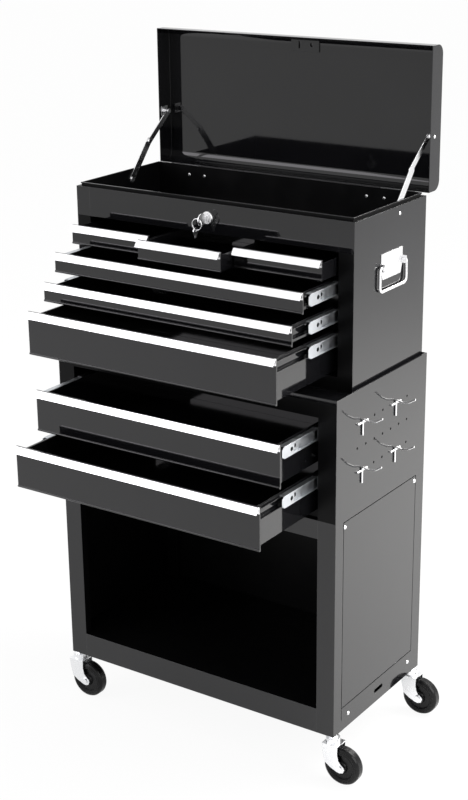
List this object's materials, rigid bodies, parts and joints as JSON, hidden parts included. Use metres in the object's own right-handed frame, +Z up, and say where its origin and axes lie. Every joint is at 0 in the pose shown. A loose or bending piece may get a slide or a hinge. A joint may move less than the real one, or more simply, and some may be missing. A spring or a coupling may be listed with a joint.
{
  "type": "rolling tool cabinet",
  "caption": "Black steel rolling tool cabinet on swivel casters with a lift-off top chest, telescopic drawers, hinged lid with stays, pegboard sides and an open lower compartment.",
  "frame": {"origin": "on the floor under the centre of the cabinet's plan (front face at y -0.162, back at y +0.162)", "axes": "+X to the right seen from the front, +Y to the back, +Z up"},
  "size_m": [0.6685, 0.552, 1.294],
  "materials": {
    "black_paint": "high gloss",
    "trim_metal": "satin",
    "zinc": "zinc plated",
    "bright_steel": "bright plated",
    "wheel_rubber": "matte"
  },
  "bodies": {
    "cabinet": {"cabinet_side_right": "black_paint", "cabinet_side_left": "black_paint", "cabinet_back": "black_paint", "cabinet_top_tray": "black_paint", "cabinet_base": "black_paint", "cabinet_mid_rail": "black_paint", "cabinet_infill_panels": "black_paint", "cabinet_panel_screws": "bright_steel", "cabinet_slide_outers": "zinc", "peg_hooks": "bright_steel", "caster_stems": "zinc"},
    "chest": {"chest_side_right": "black_paint", "chest_side_left": "black_paint", "chest_back": "black_paint", "chest_base": "black_paint", "chest_front_panel": "black_paint", "chest_well": "black_paint", "chest_shelf": "black_paint", "chest_slide_outers": "zinc", "chest_fittings": "bright_steel", "lid_hinge_fixed": "black_paint", "lock_body": "bright_steel"},
    "lid": {"lid_shell": "black_paint", "lid_fittings": "black_paint"},
    "stays_lower": {"stay_links_lower": "bright_steel"},
    "stays_upper": {"stay_links_upper": "bright_steel"},
    "drawer_small_left": {"small_drawer_left": "black_paint", "small_trim_left": "trim_metal"},
    "drawer_small_middle": {"small_drawer_middle": "black_paint", "small_trim_middle": "trim_metal"},
    "drawer_small_right": {"small_drawer_right": "black_paint", "small_trim_right": "trim_metal"},
    "chest_drawer_upper_members": {"chest_drawer_upper_slides": "zinc"},
    "chest_drawer_upper_body": {"chest_drawer_upper": "black_paint", "chest_drawer_upper_trim": "trim_metal"},
    "chest_drawer_middle_members": {"chest_drawer_middle_slides": "zinc"},
    "chest_drawer_middle_body": {"chest_drawer_middle": "black_paint", "chest_drawer_middle_trim": "trim_metal"},
    "chest_drawer_deep_members": {"chest_drawer_deep_slides": "zinc"},
    "chest_drawer_deep_body": {"chest_drawer_deep": "black_paint", "chest_drawer_deep_trim": "trim_metal"},
    "cabinet_drawer_upper_members": {"cabinet_drawer_upper_slides": "zinc"},
    "cabinet_drawer_upper_body": {"cabinet_drawer_upper": "black_paint", "cabinet_drawer_upper_trim": "trim_metal"},
    "cabinet_drawer_lower_members": {"cabinet_drawer_lower_slides": "zinc"},
    "cabinet_drawer_lower_body": {"cabinet_drawer_lower": "black_paint", "cabinet_drawer_lower_trim": "trim_metal"},
    "bail_right_body": {"bail_right": "bright_steel"},
    "bail_left_body": {"bail_left": "bright_steel"},
    "plug": {"lock_plug": "bright_steel"},
    "key": {"lock_key": "bright_steel"},
    "ring": {"key_ring": "bright_steel"},
    "fork_front_left": {"caster_fork_front_left": "zinc"},
    "wheel_front_left": {"caster_wheel_front_left": "wheel_rubber"},
    "fork_front_right": {"caster_fork_front_right": "zinc"},
    "wheel_front_right": {"caster_wheel_front_right": "wheel_rubber"},
    "fork_rear_left": {"caster_fork_rear_left": "zinc"},
    "wheel_rear_left": {"caster_wheel_rear_left": "wheel_rubber"},
    "fork_rear_right": {"caster_fork_rear_right": "zinc"},
    "wheel_rear_right": {"caster_wheel_rear_right": "wheel_rubber"}
  },
  "joints": [
    {"name": "chest_lift", "type": "slide", "parent": "cabinet", "child": "chest", "axis": [0, 0, 1], "range_m": [0, 0.06]},
    {"name": "lid_hinge", "type": "hinge", "parent": "chest", "child": "lid", "pos_m": [0, 0.162, 1.031], "axis": [1, 0, 0], "range_deg": [0, 90]},
    {"name": "stay_lower_pivot", "type": "hinge", "parent": "chest", "child": "stays_lower", "pos_m": [0, 0.06, 1.019], "axis": [1, 0, 0], "range_deg": [0, 113.06]},
    {"name": "stay_upper_pivot", "type": "hinge", "parent": "lid", "child": "stays_upper", "pos_m": [0, 0.18, 1.134], "axis": [1, 0, 0], "range_deg": [-125.36, 0]},
    {"name": "small_drawer_left_slide", "type": "slide", "parent": "chest", "child": "drawer_small_left", "axis": [0, -1, 0], "range_m": [-0.057, 0.093]},
    {"name": "small_drawer_middle_slide", "type": "slide", "parent": "chest", "child": "drawer_small_middle", "axis": [0, -1, 0], "range_m": [-0.09, 0.06]},
    {"name": "small_drawer_right_slide", "type": "slide", "parent": "chest", "child": "drawer_small_right", "axis": [0, -1, 0], "range_m": [-0.049, 0.101]},
    {"name": "chest_drawer_upper_member_slide", "type": "slide", "parent": "chest", "child": "chest_drawer_upper_members", "axis": [0, -1, 0], "range_m": [-0.094, 0.02]},
    {"name": "chest_drawer_upper_slide", "type": "slide", "parent": "chest_drawer_upper_members", "child": "chest_drawer_upper_body", "axis": [0, -1, 0], "range_m": [-0.015, 0.1]},
    {"name": "chest_drawer_middle_member_slide", "type": "slide", "parent": "chest", "child": "chest_drawer_middle_members", "axis": [0, -1, 0], "range_m": [-0.094, 0.02]},
    {"name": "chest_drawer_middle_slide", "type": "slide", "parent": "chest_drawer_middle_members", "child": "chest_drawer_middle_body", "axis": [0, -1, 0], "range_m": [-0.049, 0.066]},
    {"name": "chest_drawer_deep_member_slide", "type": "slide", "parent": "chest", "child": "chest_drawer_deep_members", "axis": [0, -1, 0], "range_m": [-0.094, 0.02]},
    {"name": "chest_drawer_deep_slide", "type": "slide", "parent": "chest_drawer_deep_members", "child": "chest_drawer_deep_body", "axis": [0, -1, 0], "range_m": [-0.096, 0.019]},
    {"name": "cabinet_drawer_upper_member_slide", "type": "slide", "parent": "cabinet", "child": "cabinet_drawer_upper_members", "axis": [0, -1, 0], "range_m": [-0.111, 0.034]},
    {"name": "cabinet_drawer_upper_slide", "type": "slide", "parent": "cabinet_drawer_upper_members", "child": "cabinet_drawer_upper_body", "axis": [0, -1, 0], "range_m": [-0.003, 0.142]},
    {"name": "cabinet_drawer_lower_member_slide", "type": "slide", "parent": "cabinet", "child": "cabinet_drawer_lower_members", "axis": [0, -1, 0], "range_m": [-0.111, 0.034]},
    {"name": "cabinet_drawer_lower_slide", "type": "slide", "parent": "cabinet_drawer_lower_members", "child": "cabinet_drawer_lower_body", "axis": [0, -1, 0], "range_m": [-0.0655, 0.0795]},
    {"name": "bail_right_swing", "type": "hinge", "parent": "chest", "child": "bail_right_body", "pos_m": [0.3015, 0.032, 0.936], "axis": [0, -1, 0], "range_deg": [0, 100]},
    {"name": "bail_left_swing", "type": "hinge", "parent": "chest", "child": "bail_left_body", "pos_m": [-0.3015, 0.032, 0.936], "axis": [0, 1, 0], "range_deg": [0, 100]},
    {"name": "lock_turn", "type": "hinge", "parent": "chest", "child": "plug", "pos_m": [0, -0.1, 1.0065], "axis": [0, 1, 0], "range_deg": [0, 90]},
    {"name": "key_pull", "type": "slide", "parent": "plug", "child": "key", "axis": [0, -1, 0], "range_m": [0, 0.035]},
    {"name": "key_ring_swing", "type": "hinge", "parent": "key", "child": "ring", "pos_m": [0, -0.124, 1.0077], "axis": [1, 0, 0], "range_deg": [-60, 20]},
    {"name": "swivel_front_left", "type": "hinge", "parent": "cabinet", "child": "fork_front_left", "pos_m": [-0.297, -0.1493, 0.081], "axis": [0, 0, 1], "continuous": true},
    {"name": "wheel_front_left_spin", "type": "hinge", "parent": "fork_front_left", "child": "wheel_front_left", "pos_m": [-0.274, -0.1493, 0.0365], "axis": [0, 1, 0], "continuous": true},
    {"name": "swivel_front_right", "type": "hinge", "parent": "cabinet", "child": "fork_front_right", "pos_m": [0.297, -0.1493, 0.081], "axis": [0, 0, 1], "continuous": true},
    {"name": "wheel_front_right_spin", "type": "hinge", "parent": "fork_front_right", "child": "wheel_front_right", "pos_m": [0.32, -0.1493, 0.0365], "axis": [0, 1, 0], "continuous": true},
    {"name": "swivel_rear_left", "type": "hinge", "parent": "cabinet", "child": "fork_rear_left", "pos_m": [-0.297, 0.1523, 0.081], "axis": [0, 0, 1], "continuous": true},
    {"name": "wheel_rear_left_spin", "type": "hinge", "parent": "fork_rear_left", "child": "wheel_rear_left", "pos_m": [-0.274, 0.1523, 0.0365], "axis": [0, 1, 0], "continuous": true},
    {"name": "swivel_rear_right", "type": "hinge", "parent": "cabinet", "child": "fork_rear_right", "pos_m": [0.297, 0.1523, 0.081], "axis": [0, 0, 1], "continuous": true},
    {"name": "wheel_rear_right_spin", "type": "hinge", "parent": "fork_rear_right", "child": "wheel_rear_right", "pos_m": [0.32, 0.1523, 0.0365], "axis": [0, 1, 0], "continuous": true}
  ],
  "couplings": [
    {"joint": "stay_lower_pivot", "follows": "lid_hinge", "ratio": 1.2561},
    {"joint": "stay_upper_pivot", "follows": "lid_hinge", "ratio": -1.3928}
  ]
}
